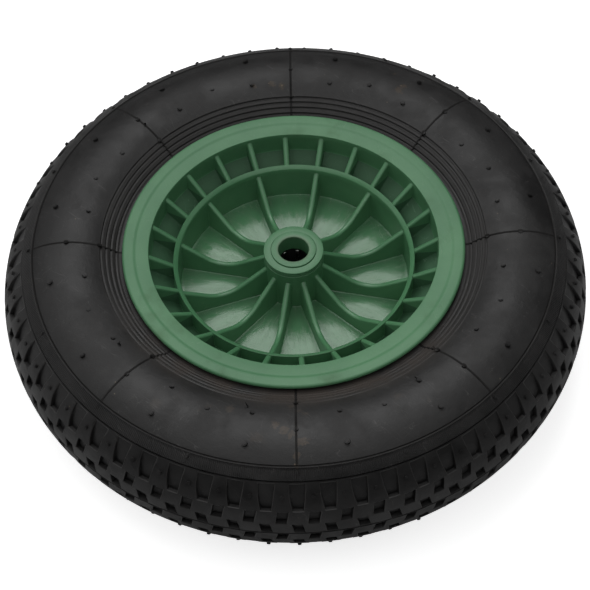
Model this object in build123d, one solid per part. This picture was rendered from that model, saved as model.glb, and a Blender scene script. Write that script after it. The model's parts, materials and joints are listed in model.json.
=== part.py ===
from build123d import *
import math
import os

# A small pneumatic wheel for a barrow: tubed tyre, one-piece moulded rim, roller bearings.
# It lies flat on its side, with the axle along +Z and the origin at the wheel's centre.
# All lengths are in millimetres and all angles in degrees.

# Tyre
tyre_diameter = 400.0
section_radius = 48.5
sidewall_thickness = 4.0
crown_thickness = 7.0
bead_width = 13.7
bead_fit = 0.1
bead_flank_angle = 145.0
bead_flank_rise = 4.0
bead_neck_depth = 7.0
band_inner_angle = 59.3
band_outer_angle = 48.8
band_height = 0.5
rim_line_angles = (116.8, 121.2, 125.7, 130.4)
rim_line_radius = 0.9
shoulder_line_angle = 48.0
shoulder_line_radius = 0.8

# Tread pattern: pockets between the lugs of the shoulder and in two rows of blocks on each half.
# A pocket's lean is how far its top end stands to one side, and its foot to the other.
pitch_count = 60
lug_pocket_top_angle = 46.4
lug_pocket_foot_angle = 23.9
lug_pocket_top_width = 10.8
lug_pocket_foot_width = 7.0
block_pocket_top_angle = 22.9
block_pocket_foot_angle = 11.7
block_pocket_top_width = 7.6
block_pocket_foot_width = 7.1
block_pocket_lean = 0.7
centre_pocket_top_angle = 10.7
centre_pocket_foot_angle = 1.4
centre_pocket_width = 7.1
centre_pocket_lean = -0.8
tread_depth = 3.0
shoulder_depth = 0.5
centre_groove_width = 1.0
centre_groove_depth = 1.2
cutter_height = 3.0
tyre_turn = 10.8

# Rim moulding
bead_seat_diameter = 203.0
flange_gap = 71.0
flange_plate = 4.2
rim_diameter = 231.8
flange_opening_diameter = 196.0
flange_step_diameter = 215.2
flange_step_height = 1.0
lip_radius = 2.0
lip_under_bevel = 3.0
bead_seat_inner_z = 21.0
well_half_width = 6.0
pocket_wall_depth = 15.7
wall = 3.2
ring_outer_diameter = 164.4
ring_height = 25.9
ring_bevel = 2.2
web_thickness = 3.4
web_front_z = -3.2
rib_thickness = 3.8
rib_round = 1.7
rib_count = 24
rib_root = 0.6
outer_rib_below_flange = 2.6
outer_rib_below_ring = 0.5
inner_rib_hub_z = 23.4
inner_rib_below_ring = 1.8
inner_rib_valley_radius = 50.7
inner_rib_valley_height = 6.3
inner_rib_valley_round = 21.0

# Hub, end caps and bearings
axle_diameter = 20.0
bore_play = 0.4
hub_length = 70.0
hub_barrel_diameter = 40.4
hub_bore_diameter = 31.0
hub_edge_bevel = 0.8
hub_stop_width = 3.0
hub_stop_wall = 3.0
cap_diameter = 40.7
cap_plate = 1.3
cap_collar_diameter = 31.0
cap_collar_height = 0.9
cap_neck_diameter = 35.0
cap_neck_length = 2.8
cap_bore_length = 13.0
cap_edge_bevel = 0.3
press_fit = 0.05
bearing_end_gap = 0.2
sleeve_wall = 1.0
roller_diameter = 4.0
roller_length = 16.0
roller_count = 8
roller_running_fit = 0.03
roller_edge = 0.3
cage_roller_gap = 0.15
cage_wall = 3.3
cage_bore_gap = 0.5
cage_end_gap = 0.3

# Inner tube and valve
tube_wall = 2.0
tube_gap = 0.35
valve_radius = 90.1
valve_turn = 187.5
stem_diameter = 11.0
stem_hole_gap = 0.3
stem_start_z = -8.0
stem_length = 20.0
valve_body_diameter = 6.0
valve_tip_diameter = 7.7
valve_tip_length = 8.5
air_bore_diameter = 3.0
air_bore_length = 8.0
core_bore_diameter = 4.9
core_diameter = 4.6
core_start = 13.0
core_length = 13.0
core_waist_diameter = 3.8
core_waist_length = 3.0
core_seal_gap = 0.05
core_ledge_length = 4.0
core_spring_bore_diameter = 2.6
pin_diameter = 0.9
pin_gap = 0.1
pin_start = 9.6
pin_end = 27.4
pin_cup_diameter = 3.8
pin_cup_length = 1.6
pin_collar_diameter = 2.3
pin_collar_length = 0.8
pin_seat_gap = 0.1
spring_wire_diameter = 0.3
spring_coil_diameter = 1.8
spring_turns = 5
spring_end_gap = 0.1
spring_length = 6.5
cap_thread_gap = 0.1
valve_cap_wall = 1.0
valve_cap_roof = 1.5
valve_cap_head_gap = 0.4
valve_cap_foot_gap = 0.3
valve_cap_edge = 0.6

# Two lengths nearer than this are taken as equal when edges are picked
same_length = 0.01

# Places that follow from the sizes above
tyre_radius = tyre_diameter / 2
section_centre = tyre_radius - section_radius
cavity_radius = section_radius - sidewall_thickness
cavity_centre = tyre_radius - crown_thickness - cavity_radius
bead_seat_radius = bead_seat_diameter / 2
bead_bore_radius = bead_seat_radius + bead_fit
flange_inside_z = flange_gap / 2
bead_face_z = flange_inside_z - bead_fit
bead_toe_z = bead_face_z - bead_width
flange_top_z = flange_inside_z + flange_plate
flange_opening_radius = flange_opening_diameter / 2
flange_step_radius = flange_step_diameter / 2
rim_radius = rim_diameter / 2
ring_outer_radius = ring_outer_diameter / 2
ring_inner_radius = ring_outer_radius - wall
pocket_wall_foot_z = flange_top_z - pocket_wall_depth
hub_barrel_radius = hub_barrel_diameter / 2
web_back_z = web_front_z - web_thickness
web_middle_z = web_front_z - web_thickness / 2
hub_bore_radius = hub_bore_diameter / 2
hub_face_z = hub_length / 2
cap_plate_top_z = hub_face_z - cap_collar_height
cap_plate_foot_z = cap_plate_top_z - cap_plate
hub_barrel_z = cap_plate_foot_z - cap_neck_length
cap_foot_z = hub_face_z - cap_bore_length
bore_radius = axle_diameter / 2 + bore_play
hub_stop_z = hub_stop_width / 2
sleeve_outer_radius = hub_bore_radius - press_fit
sleeve_inner_radius = sleeve_outer_radius - sleeve_wall
roller_radius = roller_diameter / 2
roller_pitch_radius = sleeve_inner_radius - roller_running_fit - roller_radius
pitch_angle = 360.0 / pitch_count
half_pitch_angle = pitch_angle / 2
rib_angle = 360.0 / rib_count
inner_rib_angle = 2 * rib_angle
roller_angle = 360.0 / roller_count
stem_end_z = stem_start_z - stem_length


def section_point(angle, radius=section_radius):
    # A point of the tyre's round section, from the crown at 0 to the sidewall at 90.
    turn = math.radians(angle)
    return section_centre + radius * math.cos(turn), radius * math.sin(turn)


def cavity_point(angle, radius=cavity_radius):
    turn = math.radians(angle)
    return cavity_centre + radius * math.cos(turn), radius * math.sin(turn)


def outline(*points):
    # A flat face in the plane of the axle, from points given as radius and height.
    return Plane.XZ * make_face(Polyline(*points, close=True))


def disc(radius, centre=(0.0, 0.0)):
    return Plane.XZ * Pos(*centre) * Circle(radius)


def ring_face(inner_radius, outer_radius, low_z, high_z):
    return outline(
        (inner_radius, low_z),
        (outer_radius, low_z),
        (outer_radius, high_z),
        (inner_radius, high_z),
    )


def turned(face):
    return revolve(face, Axis.Z, 360)


def mirrored_points(points):
    return [(radius, -height) for radius, height in reversed(points)]


def sector_face(angle_from, angle_to, inner_radius, outer_radius):
    # A piece of a ring around the tyre's section, between two section angles.
    middle = (angle_from + angle_to) / 2
    inner = [section_point(angle, inner_radius) for angle in (angle_from, middle, angle_to)]
    outer = [section_point(angle, outer_radius) for angle in (angle_to, middle, angle_from)]
    edges = Curve() + [
        ThreePointArc(*inner),
        Line(inner[2], outer[0]),
        ThreePointArc(*outer),
        Line(outer[2], inner[0]),
    ]
    return Plane.XZ * make_face(edges)


def bead_face(side):
    flank = cavity_point(bead_flank_angle)
    neck_radius = section_centre - math.sqrt(section_radius**2 - bead_face_z**2)
    corners = [
        (bead_bore_radius, bead_toe_z),
        (bead_bore_radius, bead_face_z),
        (neck_radius, bead_face_z),
        (neck_radius + bead_neck_depth, bead_face_z - bead_flank_rise),
        flank,
    ]
    return outline(*[(radius, side * height) for radius, height in corners])


def bed_opening_face():
    # The mouth between the two beads, where the tube reaches down onto the rim.
    flank = cavity_point(bead_flank_angle)
    front = [
        (ring_outer_radius, bead_toe_z),
        (bead_bore_radius, bead_toe_z),
        flank,
    ]
    return outline(*front, *mirrored_points(front))


def tyre_section():
    face = disc(section_radius, (section_centre, 0)) + bead_face(1) + bead_face(-1)
    face -= disc(cavity_radius, (cavity_centre, 0))
    face -= bed_opening_face()
    for side in (1, -1):
        band_angles = (side * band_outer_angle, side * band_inner_angle)
        face += sector_face(*band_angles, section_radius - band_height, section_radius + band_height)
        for angle in rim_line_angles:
            face -= disc(rim_line_radius, section_point(side * angle))
        face -= disc(shoulder_line_radius, section_point(side * shoulder_line_angle))
    groove_foot = tyre_radius - centre_groove_depth
    half_groove = centre_groove_width / 2
    face -= ring_face(groove_foot, tyre_radius + cutter_height, -half_groove, half_groove)
    return face


def pocket_end(angle, width, depth, shift, side):
    # One end of a tread pocket: a rectangle that stands square to the tyre's section.
    radius, height = section_point(side * angle)
    out = Vector(math.cos(math.radians(angle)), 0, side * math.sin(math.radians(angle)))
    frame = Plane(origin=(radius, 0, height), x_dir=(0, 1, 0), z_dir=out.cross(Vector(0, 1, 0)))
    up = 1 if frame.y_dir.dot(out) > 0 else -1
    middle = up * (cutter_height - depth) / 2
    return frame * Pos(shift, middle) * Rectangle(width, cutter_height + depth)


def tread_pocket(side, angles, widths, depths, lean=0.0):
    # angles, widths and depths are those of the pocket's top end and then its foot.
    ends = []
    for angle, width, depth, shift in zip(angles, widths, depths, (lean, -lean)):
        ends.append(pocket_end(angle, width, depth, shift, side))
    return loft(ends, ruled=True)


def tread_pockets(side):
    even_depth = (tread_depth, tread_depth)
    lug = tread_pocket(
        side,
        (lug_pocket_top_angle, lug_pocket_foot_angle),
        (lug_pocket_top_width, lug_pocket_foot_width),
        (shoulder_depth, tread_depth),
    )
    block = tread_pocket(
        side,
        (block_pocket_top_angle, block_pocket_foot_angle),
        (block_pocket_top_width, block_pocket_foot_width),
        even_depth,
        block_pocket_lean,
    )
    centre = tread_pocket(
        side,
        (centre_pocket_top_angle, centre_pocket_foot_angle),
        (centre_pocket_width, centre_pocket_width),
        even_depth,
        centre_pocket_lean,
    )
    quarter = pitch_angle / 4
    start = quarter if side > 0 else quarter + half_pitch_angle
    pockets = []
    for index in range(pitch_count):
        turn = start + index * pitch_angle
        pockets.append(Rot(0, 0, turn) * lug)
        pockets.append(Rot(0, 0, turn) * centre)
        pockets.append(Rot(0, 0, turn + half_pitch_angle) * block)
    return pockets


def make_tyre():
    casing = turned(tyre_section())
    casing = casing - (tread_pockets(1) + tread_pockets(-1))
    return Rot(0, 0, tyre_turn) * casing


def rim_half_points():
    # The front half of the rim's section, outer side first, from the well to the web.
    step_top_z = flange_top_z + flange_step_height
    slope_run = bead_seat_radius - ring_outer_radius
    slope_rise = bead_seat_inner_z - well_half_width
    inner_slope = slope_rise / slope_run
    ledge_foot_z = pocket_wall_foot_z - inner_slope * (flange_opening_radius - ring_outer_radius)
    return [
        (ring_outer_radius, well_half_width),
        (bead_seat_radius, bead_seat_inner_z),
        (bead_seat_radius, flange_inside_z),
        (rim_radius - lip_under_bevel, flange_inside_z),
        (rim_radius, flange_inside_z + lip_under_bevel),
        (rim_radius, step_top_z),
        (flange_step_radius, step_top_z),
        (flange_step_radius, flange_top_z),
        (flange_opening_radius, flange_top_z),
        (flange_opening_radius, pocket_wall_foot_z),
        (ring_outer_radius, ledge_foot_z),
        (ring_outer_radius, ring_height),
        (ring_inner_radius, ring_height - ring_bevel),
    ]


def hub_half_points():
    return [
        (hub_barrel_radius, hub_barrel_z - hub_edge_bevel),
        (hub_barrel_radius - hub_edge_bevel, hub_barrel_z),
        (hub_bore_radius, hub_barrel_z),
        (hub_bore_radius, hub_stop_z),
        (hub_bore_radius - hub_stop_wall, hub_stop_z),
    ]


def rim_section():
    front_web = [(ring_inner_radius, web_front_z), (hub_barrel_radius, web_front_z)]
    back_web = [(hub_barrel_radius, web_back_z), (ring_inner_radius, web_back_z)]
    points = rim_half_points() + front_web + hub_half_points()
    points += mirrored_points(hub_half_points()) + back_web + mirrored_points(rim_half_points())
    return outline(*points)


def rim_barrel():
    barrel = turned(rim_section())
    step_top_z = flange_top_z + flange_step_height
    lips = []
    for edge in barrel.edges().filter_by(GeomType.CIRCLE):
        on_rim = abs(edge.radius - rim_radius) < same_length
        if on_rim and abs(abs(edge.arc_center.Z) - step_top_z) < same_length:
            lips.append(edge)
    return fillet(lips, lip_radius)


def rounded_rib(face, top_lengths):
    # A face in the plane of the axle, given a rib's thickness, with the edges of its top rounded.
    half = rib_thickness / 2
    body = extrude(face, amount=half, both=True)
    top = []
    for edge in body.edges():
        on_side = abs(abs(edge.center().Y) - half) < same_length
        if on_side and any(abs(edge.length - length) < same_length for length in top_lengths):
            top.append(edge)
    return fillet(top, rib_round)


def outer_rib():
    ring_end = (ring_outer_radius - rib_root, ring_height - outer_rib_below_ring)
    flange_end = (flange_opening_radius + rib_root, flange_top_z - outer_rib_below_flange)
    face = outline(
        ring_end,
        flange_end,
        (flange_end[0], pocket_wall_foot_z - wall),
        (ring_end[0], well_half_width),
    )
    top_length = (Vector(*flange_end) - Vector(*ring_end)).length
    return rounded_rib(face, [top_length])


def inner_rib(side):
    # A rib with a valley in its top and its foot inside the web; side is 1 in front and -1 behind.
    web_top_z = web_front_z if side > 0 else -web_back_z
    hub_end = (hub_barrel_radius - rib_root, inner_rib_hub_z)
    ring_end = (ring_inner_radius + rib_root, ring_height - ring_bevel - inner_rib_below_ring)
    valley = (inner_rib_valley_radius, web_top_z + inner_rib_valley_height)
    top = FilletPolyline(hub_end, valley, ring_end, radius=inner_rib_valley_round)
    foot_z = side * web_middle_z
    foot = Polyline(ring_end, (ring_end[0], foot_z), (hub_end[0], foot_z), hub_end)
    face = Plane.XZ * make_face(Curve() + [top, foot])
    return rounded_rib(face, [edge.length for edge in top.edges()])


def valve_place():
    return Rot(0, 0, valve_turn) * Pos(valve_radius, 0, 0)


def make_rim():
    body = rim_barrel()
    outer = outer_rib()
    ribs = []
    for index in range(rib_count):
        place = Rot(0, 0, index * rib_angle)
        ribs.append(place * outer)
        ribs.append(place * mirror(outer, Plane.XY))
    for side in (1, -1):
        inner = inner_rib(side)
        if side < 0:
            inner = mirror(inner, Plane.XY)
        for index in range(rib_count // 2):
            ribs.append(Rot(0, 0, index * inner_rib_angle) * inner)
    body = body + ribs
    hole_radius = stem_diameter / 2 + stem_hole_gap
    hole = extrude(Circle(hole_radius), amount=-flange_inside_z)
    return body - valve_place() * hole


def make_end_cap(side):
    bevel = cap_edge_bevel
    points = [
        (bore_radius, cap_foot_z),
        (hub_bore_radius - press_fit, cap_foot_z),
        (hub_bore_radius - press_fit, hub_barrel_z),
        (cap_neck_diameter / 2, hub_barrel_z),
        (cap_neck_diameter / 2, cap_plate_foot_z),
        (cap_diameter / 2, cap_plate_foot_z),
        (cap_diameter / 2, cap_plate_top_z - bevel),
        (cap_diameter / 2 - bevel, cap_plate_top_z),
        (cap_collar_diameter / 2, cap_plate_top_z),
        (cap_collar_diameter / 2, hub_face_z),
        (bore_radius, hub_face_z),
    ]
    return turned(outline(*[(radius, side * height) for radius, height in points]))


def bearing_span():
    return hub_stop_z + bearing_end_gap, cap_foot_z - bearing_end_gap


def make_sleeve(side):
    low, high = bearing_span()
    return turned(ring_face(sleeve_inner_radius, sleeve_outer_radius, side * low, side * high))


def roller_places(side):
    low, high = bearing_span()
    middle = side * (low + high) / 2
    for index in range(roller_count):
        yield Rot(0, 0, index * roller_angle) * Pos(roller_pitch_radius, 0, middle)


def make_cage(side):
    low, high = bearing_span()
    outer_radius = bore_radius + cage_bore_gap + cage_wall
    low_z = side * (low + cage_end_gap)
    high_z = side * (high - cage_end_gap)
    body = turned(ring_face(bore_radius + cage_bore_gap, outer_radius, low_z, high_z))
    pocket_radius = roller_radius + cage_roller_gap
    pocket = Cylinder(pocket_radius, roller_length + 2 * cage_roller_gap)
    return body - [place * pocket for place in roller_places(side)]


def make_roller():
    body = Cylinder(roller_radius, roller_length)
    return chamfer(body.edges().filter_by(GeomType.CIRCLE), roller_edge)


def tube_face(inset):
    # The tube's section, swollen out to the casing and down into the rim's well.
    # Moved out by the inset and in by half of it, its side lies the inset off the rim's slope.
    top = cavity_point(bead_flank_angle, cavity_radius - inset)
    foot = cavity_point(-bead_flank_angle, cavity_radius - inset)
    crown = cavity_point(0, cavity_radius - inset)
    drop = inset / 2
    bed = [
        (bead_seat_radius + inset, bead_seat_inner_z - drop),
        (ring_outer_radius + inset, well_half_width - drop),
    ]
    back_bed = [(radius, -height) for radius, height in bed]
    sides = Polyline(foot, *back_bed, *reversed(bed), top)
    return Plane.XZ * make_face(Curve() + [ThreePointArc(top, crown, foot), sides])


def stem_cylinder(diameter, start, length):
    # A round bar on the valve's axis; start is measured from the stem's foot towards its mouth.
    bar = extrude(Circle(diameter / 2), amount=-length)
    return valve_place() * Pos(0, 0, stem_start_z - start) * bar


def make_inner_tube():
    ring = turned(tube_face(tube_gap) - tube_face(tube_gap + tube_wall))
    stem = stem_cylinder(stem_diameter, 0, stem_length)
    bore = stem_cylinder(valve_body_diameter + 2 * press_fit, 0, stem_length)
    return ring + stem - bore


def make_valve_body():
    foot = stem_cylinder(valve_body_diameter, 0, stem_length)
    tip = stem_cylinder(valve_tip_diameter, stem_length, valve_tip_length)
    body_length = stem_length + valve_tip_length
    air_bore = stem_cylinder(air_bore_diameter, 0, air_bore_length)
    core_bore = stem_cylinder(core_bore_diameter, air_bore_length, body_length - air_bore_length)
    return foot + tip - air_bore - core_bore


def make_valve_core():
    barrel = stem_cylinder(core_diameter, core_start + core_waist_length, core_length - core_waist_length)
    waist = stem_cylinder(core_waist_diameter, core_start, core_waist_length)
    pin_bore = stem_cylinder(pin_diameter + 2 * pin_gap, core_start, core_ledge_length)
    spring_bore_length = core_length - core_ledge_length
    spring_bore = stem_cylinder(core_spring_bore_diameter, core_start + core_ledge_length, spring_bore_length)
    return barrel + waist - pin_bore - spring_bore


def make_core_seal():
    outer = core_bore_diameter - 2 * core_seal_gap
    inner = core_waist_diameter + 2 * core_seal_gap
    length = core_waist_length - 2 * core_seal_gap
    start = core_start + core_seal_gap
    return stem_cylinder(outer, start, length) - stem_cylinder(inner, start, length)


def make_valve_pin():
    rod = stem_cylinder(pin_diameter, pin_start, pin_end - pin_start)
    cup_start = core_start - pin_seat_gap - pin_cup_length
    cup = stem_cylinder(pin_cup_diameter, cup_start, pin_cup_length)
    collar = stem_cylinder(pin_collar_diameter, spring_top(), pin_collar_length)
    return rod + cup + collar


def spring_start():
    return core_start + core_ledge_length + spring_end_gap


def spring_top():
    return spring_start() + spring_length + spring_end_gap


def make_valve_spring():
    coil_length = spring_length - spring_wire_diameter
    path = Helix(coil_length / spring_turns, coil_length, spring_coil_diameter / 2)
    wire = (path ^ 0) * Circle(spring_wire_diameter / 2)
    coil = sweep(wire, path)
    start = stem_start_z - spring_start() - spring_wire_diameter / 2
    return valve_place() * Pos(0, 0, start) * Rot(180, 0, 0) * coil


def make_valve_cap():
    start = stem_length + valve_cap_foot_gap
    bore_length = valve_tip_length - valve_cap_foot_gap + valve_cap_head_gap
    bore_diameter = valve_tip_diameter + 2 * cap_thread_gap
    outer_diameter = bore_diameter + 2 * valve_cap_wall
    body = stem_cylinder(outer_diameter, start, bore_length + valve_cap_roof)
    head = body.edges().filter_by(GeomType.CIRCLE).sort_by(Axis.Z)[0]
    body = chamfer(head, valve_cap_edge)
    return body - stem_cylinder(bore_diameter, start, bore_length)


def bearing_parts(name, side):
    parts = {
        f"{name}_end_cap": make_end_cap(side),
        f"{name}_bearing_sleeve": make_sleeve(side),
        f"{name}_roller_cage": make_cage(side),
    }
    for index, place in enumerate(roller_places(side)):
        parts[f"{name}_roller_{index + 1}"] = place * make_roller()
    return parts


def make_parts():
    parts = {
        "tyre": make_tyre(),
        "inner_tube": make_inner_tube(),
        "rim": make_rim(),
        "valve_body": make_valve_body(),
        "valve_core": make_valve_core(),
        "valve_core_seal": make_core_seal(),
        "valve_pin": make_valve_pin(),
        "valve_spring": make_valve_spring(),
        "valve_cap": make_valve_cap(),
    }
    parts.update(bearing_parts("front", 1))
    parts.update(bearing_parts("back", -1))
    return parts


os.makedirs("parts", exist_ok=True)
for node, shape in make_parts().items():
    export_step(shape, f"parts/{node}.step")
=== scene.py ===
import json
import math
import random

import bmesh
import bpy
from mathutils import Matrix, Vector


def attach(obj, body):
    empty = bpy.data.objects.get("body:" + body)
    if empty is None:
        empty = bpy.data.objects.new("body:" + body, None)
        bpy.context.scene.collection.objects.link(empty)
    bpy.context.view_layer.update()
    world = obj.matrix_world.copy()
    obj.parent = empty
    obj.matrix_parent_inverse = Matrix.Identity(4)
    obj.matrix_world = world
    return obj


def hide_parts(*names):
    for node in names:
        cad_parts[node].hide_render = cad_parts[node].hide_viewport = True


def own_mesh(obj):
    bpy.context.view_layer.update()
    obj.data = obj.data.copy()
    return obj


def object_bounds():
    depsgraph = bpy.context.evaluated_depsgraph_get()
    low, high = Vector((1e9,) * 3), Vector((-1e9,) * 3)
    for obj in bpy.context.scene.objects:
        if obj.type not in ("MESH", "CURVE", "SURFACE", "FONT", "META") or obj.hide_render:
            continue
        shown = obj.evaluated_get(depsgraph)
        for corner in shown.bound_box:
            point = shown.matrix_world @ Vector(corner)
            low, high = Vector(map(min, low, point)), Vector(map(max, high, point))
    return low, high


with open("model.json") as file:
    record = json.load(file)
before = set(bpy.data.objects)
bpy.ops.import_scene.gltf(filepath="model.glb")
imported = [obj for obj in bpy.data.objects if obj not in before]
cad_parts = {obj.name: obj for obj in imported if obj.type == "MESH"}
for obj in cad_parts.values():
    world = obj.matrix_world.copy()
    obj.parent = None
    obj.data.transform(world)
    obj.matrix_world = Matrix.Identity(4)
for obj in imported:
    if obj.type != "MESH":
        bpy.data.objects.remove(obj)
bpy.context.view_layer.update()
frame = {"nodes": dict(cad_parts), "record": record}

# A small pneumatic wheel lying flat, axle along Z. Lengths are in metres, angles in degrees.
MM = 0.001

# Faces that meet at a smaller angle than this are shaded as one surface
SMOOTH_ANGLE = 35

# The camera, as fitted to the photograph
CAMERA_ELEVATION = 53.73
CAMERA_ROLL = -2.28
CAMERA_TURN = 13.39
CAMERA_DISTANCE = 1363.7 * MM
CAMERA_SIDE = -0.8 * MM
CAMERA_DROP = -25.9 * MM
AIM_HEIGHT = 26.0 * MM
SENSOR_WIDTH = 36.0
LENS = 122.2
NEAR_CLIP = 0.05
FAR_CLIP = 20

# The floor's size and how bright it shows, and the light that comes from all round
FLOOR_SIZE = 12
FLOOR_GREY = 0.8
FLOOR_GLOW = 0.8
ALL_ROUND_LIGHT = 0.012
# Each lamp's name, azimuth, elevation, distance, size and power
LAMPS = (
    ("behind", 0, 60, 3.0, 1.7, 32),
    ("behind_left", 50, 45, 2.5, 1.2, 8),
    ("left", 90, 60, 2.5, 1.5, 4.5),
    ("left_low", 90, 20, 2.5, 1.5, 6),
    ("right", -90, 32, 2.5, 1.5, 3.8),
    ("front", 180, 74, 0.5, 0.6, 1.2),
)

# The tyre's round section and what is moulded on it
TYRE_RADIUS = 200 * MM
SECTION_RADIUS = 48.5 * MM
SECTION_CENTRE = TYRE_RADIUS - SECTION_RADIUS
BAND_ANGLES = (48.8, 59.3)
BAND_HEIGHT = 0.5 * MM
BAND_RIDGE = 0.3 * MM
BAND_CREASE = 0.35 * MM
RIM_LINE_ANGLES = (116.8, 121.2, 125.7, 130.4)
RIM_LINE_RADIUS = 0.9 * MM
BEAD_FACE_Z = 35.4 * MM
BEAD_BORE_RADIUS = 101.6 * MM
BEAD_TOE_Z = 21.7 * MM
CAVITY_RADIUS = 44.5 * MM
CAVITY_CENTRE = 148.5 * MM
CAVITY_FLANK = 145
CAVITY_ARC = (125, 0, 7)
PITCH_COUNT = 60
PITCH = 360 / PITCH_COUNT
COLUMNS = 8
TYRE_TURN = 12.3

# How far apart two measures may be and still count as the same, and which corners are merged
SLACK = 0.05 * MM
MERGE_DISTANCE = 0.01 * MM

# The rim's moulding, as radius and height
MID_PLANE_STOP = (12.5 * MM, 1.5 * MM)
HUB_BORE_RADIUS = 15.5 * MM
HUB_RADIUS = 20.2 * MM
HUB_TOP = 30.0 * MM
HUB_BEVEL = 0.8 * MM
RING_INNER_RADIUS = 79.0 * MM
RING_OUTER_RADIUS = 82.2 * MM
RING_TOP = 25.9 * MM
RING_BEVEL_TOP = 23.7 * MM
OPENING_RADIUS = 98.0 * MM
FLANGE_TOP = 39.7 * MM
FLANGE_STEP_RADIUS = 107.6 * MM
FLANGE_STEP = 0.8 * MM
FLANGE_STEP_CURVE = ((-1.6, 0.0), (-0.9, 0.06), (-0.2, 0.27), (0.4, 0.53), (1.1, 0.74), (2.0, 0.8))
RIM_RADIUS = 115.9 * MM
LIP_RADIUS = 2.0 * MM
LIP_UNDER_BEVEL = 3.0 * MM
FLANGE_INSIDE = 35.5 * MM
SEAT_RADIUS = 101.5 * MM
SEAT_Z = 21.0 * MM
WELL_Z = 6.0 * MM
LEDGE_FOOT = (RING_OUTER_RADIUS, 11.7 * MM)
LEDGE_TOP = (OPENING_RADIUS, 24.0 * MM)
OUTER_RIB_FOOT = 25.4 * MM
OUTER_RIB_TOP = 37.1 * MM
INNER_RIB_HUB = (19.6 * MM, 23.4 * MM)
INNER_RIB_RING = (79.6 * MM, 21.9 * MM)
VALLEY_RADIUS = 50.7 * MM
VALLEY_ABOVE_WEB = 6.3 * MM
VALLEY_ROUND = 21.0 * MM
FRONT_WEB = -3.2 * MM
BACK_WEB = 6.6 * MM
RIB_HALF = 1.9 * MM
RIB_ROUND = 1.7 * MM
INNER_RIB_COUNT = 12
WEDGE = 15.0
WEDGE_COLUMNS = 12
RIB_STEPS = 20
RIB_COLUMNS = 3
CORNER_ROUND = 0.8 * MM
VALVE_TURN = 187.5
VALVE_RADIUS = 90.1 * MM
VALVE_PLACE = (
    VALVE_RADIUS * math.cos(math.radians(VALVE_TURN)),
    VALVE_RADIUS * math.sin(math.radians(VALVE_TURN)),
)
VALVE_HOLE_RADIUS = 5.8 * MM
VALVE_CUTTER_LENGTH = 34 * MM
VALVE_CUTTER_Z = -18 * MM


def pick_faces(piece, wanted):
    """Selects, in edit mode, the faces whose centre and normal pass the test."""
    mesh = bmesh.from_edit_mesh(piece.data)
    for face in mesh.faces:
        face.select_set(wanted(face.calc_center_median(), face.normal))
    mesh.select_flush_mode()
    bmesh.update_edit_mesh(piece.data)


def pick_edges(piece, wanted):
    """Selects, in edit mode, the edges whose two ends pass the test."""
    mesh = bmesh.from_edit_mesh(piece.data)
    for face in mesh.faces:
        face.select_set(False)
    for edge in mesh.edges:
        edge.select_set(wanted(edge.verts[0].co, edge.verts[1].co))
    bmesh.update_edit_mesh(piece.data)


def pick_only(piece):
    bpy.ops.object.select_all(action="DESELECT")
    piece.select_set(True)
    bpy.context.view_layer.objects.active = piece


def add(kind, name, **settings):
    """Adds one of Blender's plain shapes under a name."""
    bpy.ops.object.select_all(action="DESELECT")
    getattr(bpy.ops.mesh, f"primitive_{kind}_add")(**settings)
    bpy.context.object.name = name
    return bpy.context.object


def edit(piece, select_mode="FACE"):
    """Opens a piece in edit mode with all of it selected."""
    pick_only(piece)
    bpy.ops.object.mode_set(mode="EDIT")
    bpy.ops.mesh.select_mode(type=select_mode)
    bpy.ops.mesh.select_all(action="SELECT")


def leave_edit():
    bpy.ops.object.mode_set(mode="OBJECT")


def drawn_outline(name, points):
    """A chain of edges in the plane of the axle, drawn from one corner to the next."""
    piece = add("plane", name, size=MM)
    edit(piece, "VERT")
    bpy.ops.mesh.merge(type="CENTER")
    here = (0.0, 0.0)
    for index, there in enumerate(points):
        step = (there[0] - here[0], 0, there[1] - here[1])
        if index == 0:
            bpy.ops.transform.translate(value=step)
        else:
            extrude(step)
        here = there
    leave_edit()
    return piece


def extrude(step):
    bpy.ops.mesh.extrude_region_move(TRANSFORM_OT_translate={"value": step})


def rotation(angle, axis):
    return Matrix.Rotation(math.radians(angle), 4, axis)


def closed_up(piece):
    """Merges what meets and turns all faces outwards."""
    edit(piece, "VERT")
    bpy.ops.mesh.remove_doubles(threshold=MERGE_DISTANCE)
    bpy.ops.mesh.normals_make_consistent(inside=False)
    leave_edit()


def join(pieces):
    bpy.ops.object.select_all(action="DESELECT")
    for piece in pieces:
        piece.select_set(True)
    bpy.context.view_layer.objects.active = pieces[0]
    bpy.ops.object.join()
    return pieces[0]


def own_copy(piece):
    other = piece.copy()
    other.data = piece.data.copy()
    bpy.context.scene.collection.objects.link(other)
    return other


def turn_about_axle(piece, angle):
    piece.data.transform(rotation(angle, "Z"))
    return piece


def swept(piece, steps, angle, dupli=False):
    """Spins a whole piece round the axle, as one surface or as copies, and merges what meets."""
    edit(piece, "VERT")
    about_axle = {"center": (0, 0, 0), "axis": (0, 0, 1)}
    bpy.ops.mesh.spin(steps=steps, dupli=dupli, angle=math.radians(angle), **about_axle)
    leave_edit()
    closed_up(piece)
    return piece


def mirror(piece, y=1, z=1):
    """Mirrors a piece through the wheel's centre planes and keeps its faces outwards."""
    piece.data.transform(Matrix.Diagonal((1, y, z, 1)))
    piece.data.flip_normals()
    return piece


def polar(place):
    return math.degrees(math.atan2(place.y, place.x))


def from_axle(place):
    return math.hypot(place.x, place.y)


def from_section_centre(place):
    return math.hypot(from_axle(place) - SECTION_CENTRE, place.z)


def round_point(radius, angle):
    """The point at a distance and an angle in degrees."""
    turn = math.radians(angle)
    return radius * math.cos(turn), radius * math.sin(turn)


def section_angle(place):
    """How far round the tyre's section a point lies: 0 at the crown, 90 on top of the sidewall."""
    return math.degrees(math.atan2(place.z, from_axle(place) - SECTION_CENTRE))


def on_section(angle, lift=0.0):
    across, up = round_point(SECTION_RADIUS + lift, angle)
    return SECTION_CENTRE + across, up


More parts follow.
